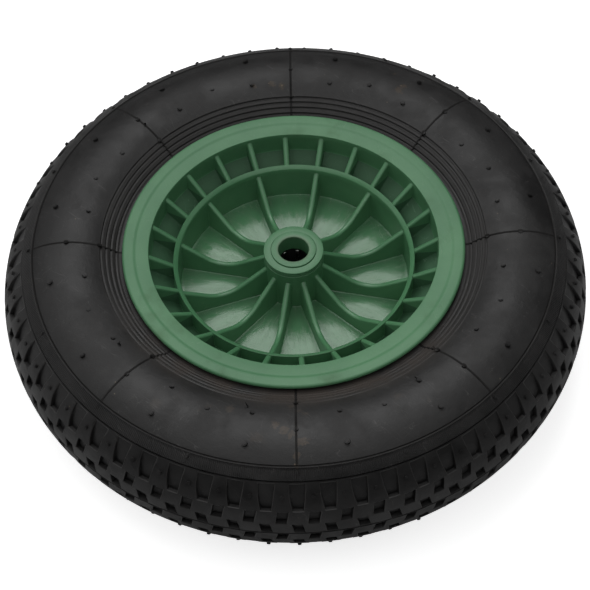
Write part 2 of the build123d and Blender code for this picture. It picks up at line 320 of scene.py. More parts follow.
def stood_on_section(angle, lift=0.0):
    """Moves a piece from the origin onto the sidewall, square to it."""
    reach, rise = on_section(angle, lift)
    return Matrix.Translation((reach, 0, rise)) @ rotation(90 - angle, "Y")


def arc_angles(start, end, steps):
    return [start + (end - start) * index / steps for index in range(steps + 1)]


# The rows of the tread, from the centre line to the band, as section angles
GROOVE_ANGLES = (0.0, 0.35, 0.7)
CENTRE_ROW = (1.4, 10.7)
BLOCK_ROW = (11.7, 22.9)
LUG_ROW = (23.9, 46.4)
GROOVE_DEPTH = 1.2 * MM
TREAD_DEPTH = 3.0 * MM
SHOULDER_DEPTH = 0.5 * MM
WALL_RUN = 0.45 * MM
BLOCK_EDGE = 0.35 * MM
BLOCK_EDGE_ANGLE = 25


def tread_profile():
    points = [on_section(0.0, -GROOVE_DEPTH), on_section(GROOVE_ANGLES[1], -GROOVE_DEPTH)]
    points += [on_section(GROOVE_ANGLES[2])]
    points += [on_section(angle) for angle in arc_angles(*CENTRE_ROW, 3)]
    points += [on_section(angle) for angle in arc_angles(*BLOCK_ROW, 3)]
    points += [on_section(angle) for angle in arc_angles(*LUG_ROW, 6)]
    return points


def band_profile():
    outer, inner = BAND_ANGLES
    points = [on_section(47.5), on_section(48.0, -0.7 * MM), on_section(48.4, -0.5 * MM)]
    points += [on_section(outer, BAND_HEIGHT)]
    points += [on_section(angle, BAND_HEIGHT) for angle in arc_angles(outer + 1, inner - 1.2, 4)]
    points += [on_section(inner - 0.7, BAND_HEIGHT + BAND_RIDGE)]
    points += [on_section(inner - 0.3, BAND_HEIGHT + BAND_RIDGE)]
    points += [on_section(inner + 0.25, -BAND_CREASE), on_section(inner + 0.7, -BAND_CREASE)]
    points += [on_section(inner + 1.1, 0.0)]
    return points


def line_profile(angle):
    """One of the fine grooves round the sidewall beside the rim."""
    reach = math.degrees(RIM_LINE_RADIUS / SECTION_RADIUS)
    shares = (-1.15, -0.9, -0.45, 0.0, 0.45, 0.9, 1.15)
    depths = (0.0, 0.35, 0.85, 1.0, 0.85, 0.35, 0.0)
    return [
        on_section(angle + reach * share, -RIM_LINE_RADIUS * depth)
        for share, depth in zip(shares, depths)
    ]


def sidewall_profile():
    points = [on_section(angle) for angle in arc_angles(62.5, 113.5, 8)]
    for angle in RIM_LINE_ANGLES:
        points += line_profile(angle)
    return points


def bead_profile():
    neck = SECTION_CENTRE - math.sqrt(SECTION_RADIUS**2 - BEAD_FACE_Z**2)
    angles = (CAVITY_FLANK, *arc_angles(*CAVITY_ARC))
    cavity = [round_point(CAVITY_RADIUS, angle) for angle in angles]
    points = [
        (neck + 0.4 * MM, BEAD_FACE_Z + 0.35 * MM),
        (neck - 0.6 * MM, BEAD_FACE_Z),
        (BEAD_BORE_RADIUS, BEAD_FACE_Z),
        (BEAD_BORE_RADIUS, BEAD_TOE_Z),
    ]
    return points + [(CAVITY_CENTRE + across, up) for across, up in cavity]


# The tread's recesses, as shares of a pitch: left and right side, at the foot and at the top
LUG_RECESS = {"row": LUG_ROW, "first": 1, "foot": (0.09, 0.43), "top": (-0.03, 0.53)}
BLOCK_RECESS = {"row": BLOCK_ROW, "first": 5, "foot": (0.55, 0.89), "top": (0.60, 0.97)}
CENTRE_RECESS = {"row": CENTRE_ROW, "first": 1, "foot": (0.12, 0.46), "top": (0.04, 0.38)}
RECESSES = (LUG_RECESS, BLOCK_RECESS, CENTRE_RECESS)
SIDE_BULGE = 0.03


def recess_of(angle):
    for recess in RECESSES:
        low, high = recess["row"]
        if low - 0.05 <= angle <= high + 0.05:
            return recess
    return None


def recess_sides(recess, angle):
    low, high = recess["row"]
    share = (angle - low) / (high - low)
    bulge = SIDE_BULGE * math.sin(math.pi * share) if recess is LUG_RECESS else 0.0
    left = recess["foot"][0] * (1 - share) + recess["top"][0] * share - bulge
    right = recess["foot"][1] * (1 - share) + recess["top"][1] * share
    return left, right


def column_place(column, angle):
    """Where a column of corners stands at a section angle, as a share of the pitch."""
    recess = recess_of(angle)
    if recess is None:
        return column / COLUMNS
    left, right = recess_sides(recess, angle)
    first = recess["first"]
    turns, inside = divmod(column - first, COLUMNS)
    if inside <= 2:
        return turns + left + (right - left) * inside / 2
    return turns + right + (left + 1 - right) * (inside - 2) / (COLUMNS - 2)


def in_cavity(place):
    return from_section_centre(place) < (SECTION_RADIUS + CAVITY_RADIUS) / 2


def slide_columns(piece):
    """Moves the sector's corners round the axle, so that its columns follow the recesses' sides."""
    for vertex in piece.data.vertices:
        angle = section_angle(vertex.co)
        column = round(polar(vertex.co) / PITCH * COLUMNS)
        if recess_of(angle) is None or in_cavity(vertex.co):
            continue
        turned = column_place(column, angle) * PITCH
        vertex.co.x, vertex.co.y = round_point(from_axle(vertex.co), turned)


def sink_recess(piece, recess):
    """Sinks one recess into the tread; the one between the lugs fades out at the shoulder."""
    low, high = recess["row"]

    def inside(centre, normal):
        angle = section_angle(centre)
        if not low < angle < high or in_cavity(centre):
            return False
        left, right = recess_sides(recess, angle)
        return left < polar(centre) / PITCH < right

    edit(piece)
    pick_faces(piece, inside)
    bpy.ops.mesh.inset(thickness=WALL_RUN, depth=-TREAD_DEPTH, use_even_offset=True)
    if recess is LUG_RECESS:
        mesh = bmesh.from_edit_mesh(piece.data)
        for vertex in mesh.verts:
            if not vertex.select:
                continue
            angle = section_angle(vertex.co)
            share = min(1.0, max(0.0, (angle - low) / (high - low)))
            depth = TREAD_DEPTH + (SHOULDER_DEPTH - TREAD_DEPTH) * share**1.3
            radius, height = on_section(angle, -depth)
            scale = radius / from_axle(vertex.co)
            vertex.co = Vector((vertex.co.x * scale, vertex.co.y * scale, height))
        bmesh.update_edit_mesh(piece.data)
    leave_edit()


def soften_block_edges(piece):
    """Takes the sharp edge off the blocks, where the recesses' walls meet the face of the tread."""
    edit(piece, "EDGE")
    mesh = bmesh.from_edit_mesh(piece.data)
    for face in mesh.faces:
        face.select_set(False)
    for edge in mesh.edges:
        on_face = all(
            CENTRE_ROW[0] - 0.2 < section_angle(vertex.co) < LUG_ROW[1] + 0.2
            and from_section_centre(vertex.co) > SECTION_RADIUS - 3 * SLACK
            for vertex in edge.verts
        )
        inner = on_face and len(edge.link_faces) == 2
        edge.select_set(inner and edge.calc_face_angle_signed() > math.radians(BLOCK_EDGE_ANGLE))
    bmesh.update_edit_mesh(piece.data)
    bpy.ops.mesh.bevel(offset=BLOCK_EDGE, segments=1, affect="EDGES")
    mesh = bmesh.from_edit_mesh(piece.data)
    # Marks the bevel's faces for the tyre's colour, which lightens them as wear and as painted
    # highlight.
    worn = mesh.faces.layers.float.new("worn_and_highlight_edge")
    for face in mesh.faces:
        face[worn] = float(face.select)
    bmesh.update_edit_mesh(piece.data)
    leave_edit()


def tyre_half():
    """One pitch of the tyre's front half, with its tread, then sixty of them in a ring."""
    profile = tread_profile() + band_profile() + sidewall_profile() + bead_profile()
    half = swept(drawn_outline("tyre_casing", profile), COLUMNS, -PITCH)
    slide_columns(half)
    for recess in RECESSES:
        sink_recess(half, recess)
    soften_block_edges(half)
    return swept(half, PITCH_COUNT - 1, 360 - PITCH, dupli=True)


# Vent nubs: section angle, how many, first angle round the axle, radius and height
HALF_STEP = 22.5
LUG_NUBS = (36.0, PITCH_COUNT, TYRE_TURN + PITCH / 2, 1.3 * MM, 1.3 * MM)
BAND_NUBS = (55.2, 16, TYRE_TURN, 1.3 * MM, 1.6 * MM)
OUTER_WALL_NUBS = (74.0, 16, TYRE_TURN + HALF_STEP / 2, 1.8 * MM, 2.0 * MM)
INNER_WALL_NUBS = (101.5, 16, TYRE_TURN + HALF_STEP / 2, 1.6 * MM, 1.6 * MM)
MIDDLE_NUBS = (96.0, 8, TYRE_TURN + HALF_STEP, 1.6 * MM, 0.9 * MM)
LINE_NUBS = (88.6, 8, TYRE_TURN, 1.7 * MM, 1.0 * MM)
RIM_LINE_NUBS = (115.2, 8, TYRE_TURN, 1.5 * MM, 2.0 * MM)
WALL_NUBS = (OUTER_WALL_NUBS, INNER_WALL_NUBS, MIDDLE_NUBS, LINE_NUBS, RIM_LINE_NUBS)
NUB_ROWS = (LUG_NUBS, BAND_NUBS, *WALL_NUBS)
NUB_SINK = 0.8 * MM
NUB_LEAN = 14.0
NUB_LENGTHS = (0.5, 1.0)
NUB_CHAMFER = (0.3, 0.2)
NUB_SEED = 5
MOULD_LINE_COUNT = 8
MOULD_LINE_ANGLES = (60.5, 131.5)
MOULD_LINE_RADIUS = 0.38 * MM
MOULD_LINE_SINK = 0.2 * MM
MOULD_LINE_STEPS = 22


def nub_row(row, draw):
    """One ring of nubs on the front side, torn off at uneven heights and leaning all ways."""
    angle, count, first_turn, radius, height = row
    nub = add("cylinder", "vent_nub", vertices=10, radius=radius, depth=height + NUB_SINK)
    edit(nub)
    pick_faces(nub, lambda centre, normal: normal.z > 0.9)
    across, up = NUB_CHAMFER
    bpy.ops.mesh.inset(thickness=across * radius)
    extrude((0, 0, up * radius))
    leave_edit()
    nub.data.transform(Matrix.Translation((0, 0, (height - NUB_SINK) / 2)))
    square = stood_on_section(angle)
    ring = []
    for index in range(count):
        stub = own_copy(nub)
        tilt = rotation(draw.uniform(-NUB_LEAN, NUB_LEAN), "X")
        length = Matrix.Diagonal((1, 1, draw.uniform(*NUB_LENGTHS), 1))
        stub.data.transform(square @ tilt @ length)
        ring.append(turn_about_axle(stub, first_turn + index * 360 / count))
    bpy.data.objects.remove(nub)
    return join(ring)


def vent_nubs():
    draw = random.Random(NUB_SEED)
    nubs = [nub_row(row, draw) for row in NUB_ROWS]
    backs = [mirror(own_copy(nub), z=-1) for nub in nubs]
    turn_about_axle(backs[0], PITCH / 2)
    return nubs + backs


def mould_lines():
    """Fine ridges across the sidewall, where the parts of the mould met."""
    start, end = MOULD_LINE_ANGLES
    reach, rise = on_section(start, -MOULD_LINE_SINK)
    line = add("circle", "mould_line", vertices=6, radius=MOULD_LINE_RADIUS, fill_type="NGON")
    line.data.transform(Matrix.Translation((reach, 0, rise)) @ rotation(-start, "Y"))
    edit(line)
    bpy.ops.mesh.spin(
        steps=MOULD_LINE_STEPS,
        angle=math.radians(end - start),
        center=(SECTION_CENTRE, 0, 0),
        axis=(0, 1, 0),
    )
    leave_edit()
    closed_up(line)
    lines = []
    for index in range(MOULD_LINE_COUNT):
        turn = TYRE_TURN + index * 360 / MOULD_LINE_COUNT
        lines.append(turn_about_axle(own_copy(line), turn))
        lines.append(turn_about_axle(mirror(own_copy(line), z=-1), turn))
    bpy.data.objects.remove(line)
    return lines


# Torn scraps of moulding flash, as section angle, turn round the axle, heading and length
FLASH_SCRAPS = (
    (101.6, -131.6, 25.0, 3.2 * MM),
    (102.2, -131.0, -60.0, 2.6 * MM),
    (116.6, -33.0, 95.0, 3.8 * MM),
    (103.9, -44.0, 170.0, 3.4 * MM),
    (106.7, -90.4, 190.0, 4.4 * MM),
    (96.4, 147.0, 40.0, 3.0 * MM),
    (62.2, 101.9, 0.0, 3.0 * MM),
)

# A scrap's foot, the lean and share of its length of each part above it, and how it tapers
SCRAP_FOOT = (1.3 * MM, 0.55 * MM, 1.2 * MM)
SCRAP_PARTS = ((35, 0.35), (30, 0.35), (12, 0.3))
SCRAP_TAPER = (0.85, 0.9, 0.9)
SCRAP_LIFT = 0.1 * MM
SCRAP_EDGE = 0.12 * MM


def flash_scrap(angle, turn, heading, length):
    """A thin scrap of rubber that stands up from the sidewall and lies over to one side."""
    scrap = add("cube", "torn_flash", size=1.0, scale=SCRAP_FOOT)
    bpy.ops.object.transform_apply(scale=True)
    edit(scrap)
    pick_faces(scrap, lambda centre, normal: normal.z > 0.9)
    for lean, share in SCRAP_PARTS:
        extrude((0, 0, share * length))
        corners = bmesh.from_edit_mesh(scrap.data).verts
        top = [corner.co.copy() for corner in corners if corner.select]
        pivot = sum(top, Vector()) / len(top) - Vector((0, 0, share * length))
        bpy.ops.transform.rotate(value=math.radians(lean), orient_axis="X", center_override=pivot)
        bpy.ops.transform.resize(value=SCRAP_TAPER, center_override=pivot)
    bpy.ops.mesh.select_all(action="SELECT")
    bpy.ops.mesh.bevel(offset=SCRAP_EDGE, segments=1, affect="EDGES")
    leave_edit()
    scrap.data.transform(stood_on_section(angle, SCRAP_LIFT) @ rotation(heading, "Z"))
    closed_up(scrap)
    return turn_about_axle(scrap, turn)


def make_tyre():
    front = tyre_half()
    back = turn_about_axle(mirror(own_copy(front), z=-1), PITCH / 2)
    tyre = join([front, back])
    closed_up(tyre)
    turn_about_axle(tyre, TYRE_TURN - PITCH / 4)
    nubs, lines = vent_nubs(), mould_lines()
    return join([tyre, *nubs, *lines, *[flash_scrap(*scrap) for scrap in FLASH_SCRAPS]])


def between(ends, radius):
    """The height at a radius, on the straight line between two (radius, height) ends."""
    (near, low), (far, high) = ends
    return low + (high - low) * (radius - near) / (far - near)


def inner_rib_top(radius, web):
    """The top of the inner ribs: two straight slopes that meet in a round valley above the web."""
    valley = (VALLEY_RADIUS, web + VALLEY_ABOVE_WEB)
    fall = math.atan2(INNER_RIB_HUB[1] - valley[1], valley[0] - INNER_RIB_HUB[0])
    rise = math.atan2(INNER_RIB_RING[1] - valley[1], INNER_RIB_RING[0] - valley[0])
    reach = VALLEY_ROUND / math.cos((fall + rise) / 2)
    centre_radius = valley[0] - reach * math.sin((rise - fall) / 2)
    centre_height = valley[1] + reach * math.cos((rise - fall) / 2)
    if radius < centre_radius - VALLEY_ROUND * math.sin(fall):
        return between((INNER_RIB_HUB, valley), radius)
    if radius > centre_radius + VALLEY_ROUND * math.sin(rise):
        return between((valley, INNER_RIB_RING), radius)
    return centre_height - math.sqrt(VALLEY_ROUND**2 - (radius - centre_radius) ** 2)


def outer_rib_top(radius):
    return between(((RING_OUTER_RADIUS, OUTER_RIB_FOOT), (OPENING_RADIUS, OUTER_RIB_TOP)), radius)


def lip_profile():
    """The flange's rounded outer lip, from its top round to the side that faces the tyre."""
    top = FLANGE_TOP + FLANGE_STEP
    points = []
    for angle in arc_angles(90, 0, 8):
        across, up = round_point(LIP_RADIUS, angle)
        points.append((RIM_RADIUS - LIP_RADIUS + across, top - LIP_RADIUS + up))
    return points


def rim_profile(web):
    """The rim's front half with its hollows still closed, from the hub's stop to the tyre's bed."""
    stop_radius, stop_z = MID_PLANE_STOP
    points = [
        (stop_radius, 0),
        (stop_radius, stop_z),
        (HUB_BORE_RADIUS, stop_z),
        (HUB_BORE_RADIUS, HUB_TOP),
        (HUB_RADIUS - HUB_BEVEL, HUB_TOP),
        (HUB_RADIUS, HUB_TOP - HUB_BEVEL),
    ]
    for share in range(RIB_STEPS + 1):
        radius = HUB_RADIUS + (RING_INNER_RADIUS - HUB_RADIUS) * share / RIB_STEPS
        points.append((radius, inner_rib_top(radius, web)))
    points += [(RING_INNER_RADIUS, RING_BEVEL_TOP)]
    points += [(RING_INNER_RADIUS + 0.4 * MM, RING_BEVEL_TOP + 0.6 * MM)]
    points += [(RING_OUTER_RADIUS - 0.4 * MM, RING_TOP), (RING_OUTER_RADIUS, RING_TOP - 0.3 * MM)]
    for share in range(5):
        radius = RING_OUTER_RADIUS + (OPENING_RADIUS - RING_OUTER_RADIUS) * share / 4
        points.append((radius, outer_rib_top(radius)))
    points += [(OPENING_RADIUS, FLANGE_TOP - 0.6 * MM)]
    points += [(OPENING_RADIUS + 0.2 * MM, FLANGE_TOP - 0.15 * MM)]
    points += [(OPENING_RADIUS + 0.6 * MM, FLANGE_TOP)]
    for across, up in FLANGE_STEP_CURVE:
        points.append((FLANGE_STEP_RADIUS + across * MM, FLANGE_TOP + up * MM))
    points += lip_profile()
    points += [(RIM_RADIUS, FLANGE_INSIDE + LIP_UNDER_BEVEL)]
    points += [(RIM_RADIUS - LIP_UNDER_BEVEL, FLANGE_INSIDE)]
    points += [(SEAT_RADIUS, FLANGE_INSIDE), (SEAT_RADIUS, SEAT_Z)]
    points += [(RING_OUTER_RADIUS, WELL_Z), (RING_OUTER_RADIUS, 0)]
    return points


def rib_corner(index):
    """A rib's rounded top, from its middle line outwards, as half width and drop."""
    if index == 0:
        return 0.0, 0.0
    turn = math.radians(90 * index / RIB_COLUMNS)
    flat = RIB_HALF - RIB_ROUND
    return flat + RIB_ROUND * math.sin(turn), RIB_ROUND * (1 - math.cos(turn))


def wedge_column(column, radius, both_ribs):
    """Where a column of the wedge stands at a radius, and how far below the ribs' top line."""
    if column <= RIB_COLUMNS:
        width, drop = rib_corner(column)
        return math.degrees(math.asin(width / radius)), drop
    if both_ribs and column >= WEDGE_COLUMNS - RIB_COLUMNS:
        width, drop = rib_corner(WEDGE_COLUMNS - column)
        return WEDGE - math.degrees(math.asin(width / radius)), drop
    side = math.degrees(math.asin(RIB_HALF / radius))
    start, end, first, last = side, WEDGE, RIB_COLUMNS, WEDGE_COLUMNS
    if both_ribs:
        end, last = WEDGE - side, WEDGE_COLUMNS - RIB_COLUMNS
    return start + (end - start) * (column - first) / (last - first), RIB_ROUND


def shape_ribs(piece, web):
    """Moves the wedge's corners so that its columns follow the ribs' sides and rounded tops."""
    for vertex in piece.data.vertices:
        radius = from_axle(vertex.co)
        height = vertex.co.z
        column = round(polar(vertex.co) / WEDGE * WEDGE_COLUMNS)
        in_front = height > WELL_Z + SLACK
        if not in_front or not HUB_RADIUS - SLACK < radius < OPENING_RADIUS + SLACK:
            continue
        both_ribs = radius > RING_INNER_RADIUS + SLACK
        place, drop = wedge_column(column, radius, both_ribs)
        top = outer_rib_top(radius) if both_ribs else inner_rib_top(radius, web)
        on_ring = RING_INNER_RADIUS + SLACK < radius < RING_OUTER_RADIUS - SLACK
        on_rib = abs(height - top) < SLACK and not on_ring
        lowered = height - drop if on_rib else height
        vertex.co = Vector((*round_point(radius, place), lowered))


def sink_pocket(piece, inner, web):
    """Sinks the hollow between two ribs to its floor and rounds the floor's edges and corners."""
    low = HUB_RADIUS if inner else RING_OUTER_RADIUS
    high = RING_INNER_RADIUS if inner else OPENING_RADIUS
    floor_line = ((low, web), (high, web)) if inner else (LEDGE_FOOT, LEDGE_TOP)

    def side_of(radius):
        return math.degrees(math.asin(min(1.0, RIB_HALF / radius)))

    def in_pocket(centre, normal):
        radius = from_axle(centre)
        top = inner_rib_top(radius, web) if inner else outer_rib_top(radius)
        if not low < radius < high or abs(centre.z - (top - RIB_ROUND)) > 0.6 * MM:
            return False
        side = side_of(radius)
        return side < polar(centre) < (WEDGE if inner else WEDGE - side)

    def at_floor(place):
        return abs(place.z - between(floor_line, from_axle(place))) < SLACK

    def at_end(place):
        radius = from_axle(place)
        return radius < low + SLACK or radius > high - SLACK

    def at_rib(place):
        radius = from_axle(place)
        side, turn = side_of(radius), polar(place)
        near = abs(radius * math.radians(turn - side)) < SLACK
        far = abs(radius * math.radians(WEDGE - side - turn)) < SLACK
        return near or (far and not inner)

    def on_middle_plane(centre, normal):
        return abs(polar(centre) - WEDGE) < 0.01

    def rounded(start, end):
        start_floor, end_floor = at_floor(start), at_floor(end)
        if start_floor and end_floor:
            return (at_end(start) and at_end(end)) or (at_rib(start) and at_rib(end))
        if start_floor or end_floor:
            upright = from_axle(start - end) < SLACK
            return upright and at_end(start) and at_rib(start)
        return False

    edit(piece)
    pick_faces(piece, in_pocket)
    extrude((0, 0, -MM))
    mesh = bmesh.from_edit_mesh(piece.data)
    for vertex in mesh.verts:
        if vertex.select:
            vertex.co.z = between(floor_line, from_axle(vertex.co))
    bmesh.update_edit_mesh(piece.data)
    if inner:
        pick_faces(piece, on_middle_plane)
        bpy.ops.mesh.delete(type="FACE")
    bpy.ops.mesh.select_mode(type="EDGE")
    pick_edges(piece, rounded)
    bpy.ops.mesh.bevel(offset=CORNER_ROUND, segments=2, affect="EDGES")
    leave_edit()


def rim_half(web):
    """A wedge between two ribs, mirrored and set round the axle twelve times."""
    half = swept(drawn_outline("rim_moulding", rim_profile(web)), WEDGE_COLUMNS, -WEDGE)
    shape_ribs(half, web)
    sink_pocket(half, False, web)
    sink_pocket(half, True, web)
    half = join([half, mirror(own_copy(half), y=-1)])
    return swept(half, INNER_RIB_COUNT - 1, 360 - 360 / INNER_RIB_COUNT, dupli=True)


def cut_valve_hole(rim):
    """Cuts the hole that the valve stem passes through, in the ledge of the back side."""
    cutter = add(
        "cylinder",
        "valve_hole_cutter",
        vertices=48,
        radius=VALVE_HOLE_RADIUS,
        depth=VALVE_CUTTER_LENGTH,
        location=(VALVE_RADIUS, 0, VALVE_CUTTER_Z),
    )
    bpy.ops.object.transform_apply(location=True)
    turn_about_axle(cutter, VALVE_TURN)
    hole = rim.modifiers.new("valve_hole", "BOOLEAN")
    hole.operation = "DIFFERENCE"
    hole.solver = "EXACT"
    hole.object = cutter
    pick_only(rim)
    bpy.ops.object.modifier_apply(modifier="valve_hole")
    bpy.data.objects.remove(cutter)


def make_rim():
    front = rim_half(FRONT_WEB)
    back = mirror(rim_half(BACK_WEB), z=-1)
    rim = join([front, back])
    closed_up(rim)
    cut_valve_hole(rim)
    return rim


# The end cap pressed into the hub, as radius and height in millimetres: a long neck, a ring, a
# thin plate and a low collar round the bore
CAP_OUTLINE = (
    (10.4, 22.0), (15.45, 22.0), (15.45, 30.0), (19.85, 30.0), (20.15, 30.3), (20.15, 31.8),
    (19.9, 32.1), (17.5, 32.1), (17.5, 32.8), (20.1, 32.8), (20.35, 33.05), (20.35, 33.65),
    (20.2, 33.95), (19.9, 34.1), (15.7, 34.1), (15.55, 33.7), (15.25, 33.7), (15.2, 34.3),
    (15.2, 34.65), (15.1, 34.9), (14.85, 35.0), (11.2, 35.0), (10.75, 34.85), (10.45, 34.5),
    (10.4, 22.0),
)
CAP_STEPS = 96


def make_end_cap(name, side):
    outline = [(radius * MM, height * MM) for radius, height in CAP_OUTLINE]
    cap = swept(drawn_outline(name, outline), CAP_STEPS, 360)
    return cap if side > 0 else mirror(cap, z=-1)


# The valve core's spring: wire and coil radius, turns, its seated end and its free end
SPRING_WIRE = 0.15 * MM
SPRING_COIL = 0.9 * MM
SPRING_TURNS = 5
SPRING_SEAT_Z = -25.1 * MM
SPRING_FREE_Z = -31.6 * MM


def make_valve_spring():
    """A round wire wound into a coil about the valve's own axis."""
    upright = (math.radians(90), 0, 0)
    coil = add("circle", "valve_spring_coil", vertices=8, radius=SPRING_WIRE, rotation=upright)
    bpy.ops.object.transform_apply(rotation=True)
    coil.data.transform(Matrix.Translation((SPRING_COIL, 0, 0)))
    winding = coil.modifiers.new("winding", "SCREW")
    winding.angle = math.radians(360 * SPRING_TURNS)
    winding.screw_offset = SPRING_SEAT_Z - SPRING_FREE_Z - 2 * SPRING_WIRE
    winding.steps = winding.render_steps = 24 * SPRING_TURNS
    bpy.ops.object.modifier_apply(modifier="winding")
    edit(coil, "EDGE")
    bpy.ops.mesh.select_all(action="DESELECT")
    bpy.ops.mesh.select_non_manifold()
    bpy.ops.mesh.fill_holes(sides=0)
    leave_edit()
    coil.data.transform(Matrix.Translation((*VALVE_PLACE, SPRING_FREE_Z + SPRING_WIRE)))
    closed_up(coil)
    return coil


# Colours of the finishes, as linear red, green and blue
RUBBER_DARK = (0.008, 0.0078, 0.0078)
RUBBER_LIGHT = (0.0145, 0.014, 0.014)
RUBBER_BEAD = (0.024, 0.023, 0.0225)
RUBBER_SPECULAR = 0.38
DUST_BROWN = (0.04, 0.031, 0.025)
STAIN_BROWN = (0.045, 0.034, 0.024)
MUD_BROWN = (0.034, 0.025, 0.017)
MUD_GRAIN = (0.17, 0.13, 0.085)
# The grey below serves for scuffs and smudges, and as painted highlight, partly wear, on the
# tread's edges and the band's crest.
SCUFF_AND_HIGHLIGHT_GREY = (0.045, 0.044, 0.043)
SPECK_TAN = (0.16, 0.13, 0.09)
# The near-black below is painted shade, laid in the band's crease and along the mould lines.
SHADE_BLACK = (0.003, 0.0025, 0.0022)
GREEN_DARK = (0.059, 0.178, 0.083)
GREEN_LIGHT = (0.082, 0.222, 0.106)
# The deep green below is painted shade on the ledges of the outer hollows.
GREEN_SHADE = (0.023, 0.072, 0.035)
GREEN_PALE = (0.12, 0.2, 0.125)
GREEN_SCRATCH = (0.16, 0.27, 0.18)
GRIME = (0.05, 0.07, 0.035)
# The pale pink below is partly dust and partly painted highlight round the bore's edge.
DUST_AND_HIGHLIGHT_PINK = (0.21, 0.19, 0.17)

# How many fine ribs the tyre's band has, and which way from the axle the dirt has gathered
SERRATION_COUNT = 900
DIRT_SIDE_TURN = 13.4

# Dried mud, as section angle, turn round the axle and reach in millimetres
MUD_SPOTS = (
    (91.7, -82.7, 7.5), (87.7, -80.5, 9.8), (84.3, -78.7, 7.5), (77.8, -76.9, 7.5),
    (78.3, -75.5, 6.8), (68.0, -77.8, 6.0), (59.9, -77.9, 5.2), (74.5, 75.3, 3.8),
    (91.1, 71.6, 9.0), (84.9, 71.2, 6.0), (104.3, 112.8, 4.5), (103.6, 107.5, 7.5),
    (106.1, 105.2, 7.5),
)


def feed(socket, value):
    """Gives a socket a value, or links it to the socket that feeds it."""
    if isinstance(value, bpy.types.NodeSocket):
        socket.id_data.links.new(value, socket)
    else:
        socket.default_value = value


def node(tree, kind, inputs=None, **settings):
    made = tree.nodes.new("ShaderNode" + kind)
    for name, value in settings.items():
        setattr(made, name, value)
    for name, value in (inputs or {}).items():
        feed(made.inputs[name], value)
    return made


def maths(operation, *values):
    """The result of one Math node, set in the tree of the first value."""
    made = node(values[0].id_data, "Math", operation=operation)
    for index, value in enumerate(values):
        feed(made.inputs[index], value)
    return made.outputs[0]


def times(first, second):
    return maths("MULTIPLY", first, second)


def plus(first, second):
    return maths("ADD", first, second)


def minus(first, second):
    return maths("SUBTRACT", first, second)


def larger(first, second):
    return maths("MAXIMUM", first, second)


def object_place(tree):
    return node(tree, "TexCoord").outputs["Object"]


def split(vector):
    return node(vector.id_data, "SeparateXYZ", {0: vector}).outputs


def across_wheel(place):
    """A place with its height taken away, as a vector from the axle."""
    x, y, _ = split(place)
    return node(place.id_data, "CombineXYZ", {0: x, 1: y}).outputs[0]


def vector_maths(operation, *vectors):
    made = node(vectors[0].id_data, "VectorMath", operation=operation)
    for index, vector in enumerate(vectors):
        feed(made.inputs[index], vector)
    return made.outputs["Value" if operation == "LENGTH" else "Vector"]


def ramp(value, low, high, start=0.0, end=1.0):
    """Runs smoothly from start to end as the value goes from low to high."""
    limits = {"From Min": low, "From Max": high, "To Min": start, "To Max": end}
    inputs = {"Value": value, **limits}
    return node(value.id_data, "MapRange", inputs, interpolation_type="SMOOTHSTEP").outputs[0]


def zone(value, low, high, edge):
    """One between two limits and nothing outside them."""
    rise = ramp(value, low - edge, low)
    return times(rise, ramp(value, high, high + edge, 1.0, 0.0))


def blended(share, first, second):
    """A colour between two colours."""
    made = node(share.id_data, "Mix", data_type="RGBA")
    feed(made.inputs["Factor"], share)
    for socket, value in zip([s for s in made.inputs if s.type == "RGBA"], (first, second)):
        feed(socket, value if isinstance(value, bpy.types.NodeSocket) else (*value, 1))
    return [socket for socket in made.outputs if socket.type == "RGBA"][0]


def tinted(colour, tint, mask, strength=1.0):
    """A colour with another laid over it, as far as a mask times a strength says."""
    share = mask if strength == 1.0 else times(mask, strength)
    return blended(share, colour, tint)


def effect(name, inputs, outputs=("Mask",)):
    """A node group with number inputs and outputs, and the place of the point it is used at."""
    group = bpy.data.node_groups.new(name, "ShaderNodeTree")
    for title, value in inputs.items():
        socket = group.interface.new_socket(title, in_out="INPUT", socket_type="NodeSocketFloat")
        socket.default_value = value
    for title in outputs:
        group.interface.new_socket(title, in_out="OUTPUT", socket_type="NodeSocketFloat")
    given = group.nodes.new("NodeGroupInput").outputs
    result = group.nodes.new("NodeGroupOutput").inputs
    return group, given, result, object_place(group)


def use(tree, group, output=0, **inputs):
    """Places an effect in a material and gives one of its outputs."""
    made = node(tree, "Group")
    made.node_tree = group
    for name, value in inputs.items():
        feed(made.inputs[name], value)
    return made.outputs[output]


def noise_of(place, scale, detail=2, roughness=0.5):
    inputs = {"Vector": place, "Scale": scale, "Detail": detail, "Roughness": roughness}
    return node(place.id_data, "TexNoise", inputs).outputs[0]


def patches(tree, scale, low, high):
    return use(tree, PATCHES, Scale=scale, Low=low, High=high)


def make_wheel_place():
    """Where a point lies: distance from the axle, height, turn, and place round the section."""
    group, _, result, place = effect("wheel_place", {}, ("Radius", "Height", "Turn", "Section"))
    x, y, z = split(place)
    radius = vector_maths("LENGTH", across_wheel(place))
    out = minus(radius, SECTION_CENTRE)
    section = maths("ARCTAN2", maths("ABSOLUTE", z), out)
    feed(result["Radius"], radius)
    feed(result["Height"], z)
    feed(result["Turn"], maths("ARCTAN2", y, x))
    feed(result["Section"], maths("DEGREES", section))
    return group


def make_patches():
    """Uneven soft patches; Low and High set how much of the surface they take."""
    group, given, result, place = effect("patches", {"Scale": 20, "Low": 0.4, "High": 0.7})
    noise = noise_of(place, given["Scale"], 6, 0.6)
    feed(result["Mask"], ramp(noise, given["Low"], given["High"]))
    return group


def make_grain():
    """The fine skin of a moulding, as a height."""
    group, given, result, place = effect("moulded_grain", {"Scale": 900}, ("Height",))
    feed(result["Height"], noise_of(place, given["Scale"], 3))
    return group


